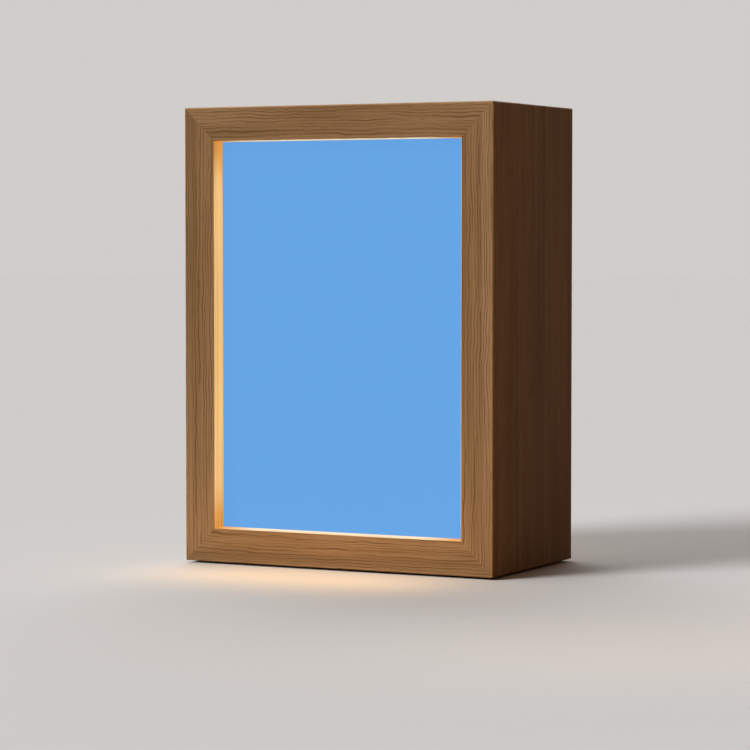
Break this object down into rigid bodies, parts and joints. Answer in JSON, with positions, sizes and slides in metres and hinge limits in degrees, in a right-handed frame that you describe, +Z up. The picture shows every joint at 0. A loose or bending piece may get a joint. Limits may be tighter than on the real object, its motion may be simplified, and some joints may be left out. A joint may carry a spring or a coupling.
{
  "type": "picture light box table lamp",
  "caption": "Oak light-box table lamp: a mitred wooden case round a backlit picture panel, with a pull-off back that carries the LED tray, driver, rocker switch and power inlet.",
  "frame": {"origin": "on the table, under the middle of the case", "axes": "+Z up, the picture faces -Y, +X to the right as seen from the front"},
  "size_m": [0.18, 0.1, 0.2412],
  "materials": {
    "oak": "oiled oak, fine straight grain",
    "plywood": "birch plywood, lightly sealed",
    "picture": "matt backlit film, plain light blue",
    "opal": "opal acrylic sheet",
    "white_board": "matt white foamed plastic board",
    "steel": "zinc-plated steel",
    "magnet": "nickel-plated magnet",
    "felt": "pressed dark felt",
    "brass": "turned brass",
    "tray": "white powder-coated aluminium sheet",
    "strip": "white flexible circuit",
    "led": "warm white LED",
    "red_wire": "red wire insulation",
    "black_wire": "black wire insulation",
    "circuit_board": "green solder mask",
    "nylon": "natural nylon",
    "ferrite": "moulded ferrite",
    "can": "capacitor can",
    "green_plastic": "moulded terminal block",
    "black_plastic": "fine textured black moulding",
    "rocker": "satin black moulding",
    "rubber": "black rubber"
  },
  "bodies": {
    "case": {"case_top": "oak", "case_bottom": "oak", "case_left": "oak", "case_right": "oak", "mitre_splines": "plywood", "picture_film": "picture", "diffuser_panel": "opal", "liner_top": "white_board", "liner_bottom": "white_board", "liner_left": "white_board", "liner_right": "white_board", "liner_pins": "steel", "magnet_blocks": "plywood", "case_magnets": "magnet", "foot_pads": "felt"},
    "light_module": {"back_panel": "plywood", "strike_discs": "steel", "back_screws": "steel", "tray_pillars": "brass", "led_tray": "tray", "tray_screws": "steel", "tray_grommet": "rubber", "led_strips": "strip", "led_chips": "led", "strip_jumpers": "red_wire", "driver_board": "circuit_board", "driver_standoffs": "nylon", "driver_inductor": "ferrite", "driver_capacitors": "can", "driver_chip": "black_plastic", "driver_terminals": "green_plastic", "terminal_screws": "steel", "switch_housing": "black_plastic", "switch_terminals": "brass", "inlet_housing": "black_plastic", "inlet_shell": "steel", "inlet_tongue": "black_plastic", "inlet_screws": "steel", "lead_supply": "red_wire", "lead_switched": "red_wire", "lead_return": "black_wire", "lead_led_plus": "red_wire", "lead_led_minus": "black_wire", "lead_clip": "nylon"},
    "rocker": {"switch_rocker": "rocker", "switch_plunger": "steel"},
    "contact": {"switch_contact": "brass"}
  },
  "joints": [
    {"name": "back_pull", "type": "slide", "parent": "case", "child": "light_module", "axis": [0, 1, 0], "range_m": [0, 0.06]},
    {"name": "switch_rock", "type": "hinge", "parent": "light_module", "child": "rocker", "pos_m": [0.02, 0.043, 0.0402], "axis": [0, 0, 1], "range_deg": [-20, 0]},
    {"name": "contact_rock", "type": "hinge", "parent": "light_module", "child": "contact", "pos_m": [0.02, 0.03445, 0.0402], "axis": [0, 0, 1], "range_deg": [0, 16]}
  ],
  "couplings": [
    {"joint": "contact_rock", "follows": "switch_rock", "ratio": -0.8}
  ]
}
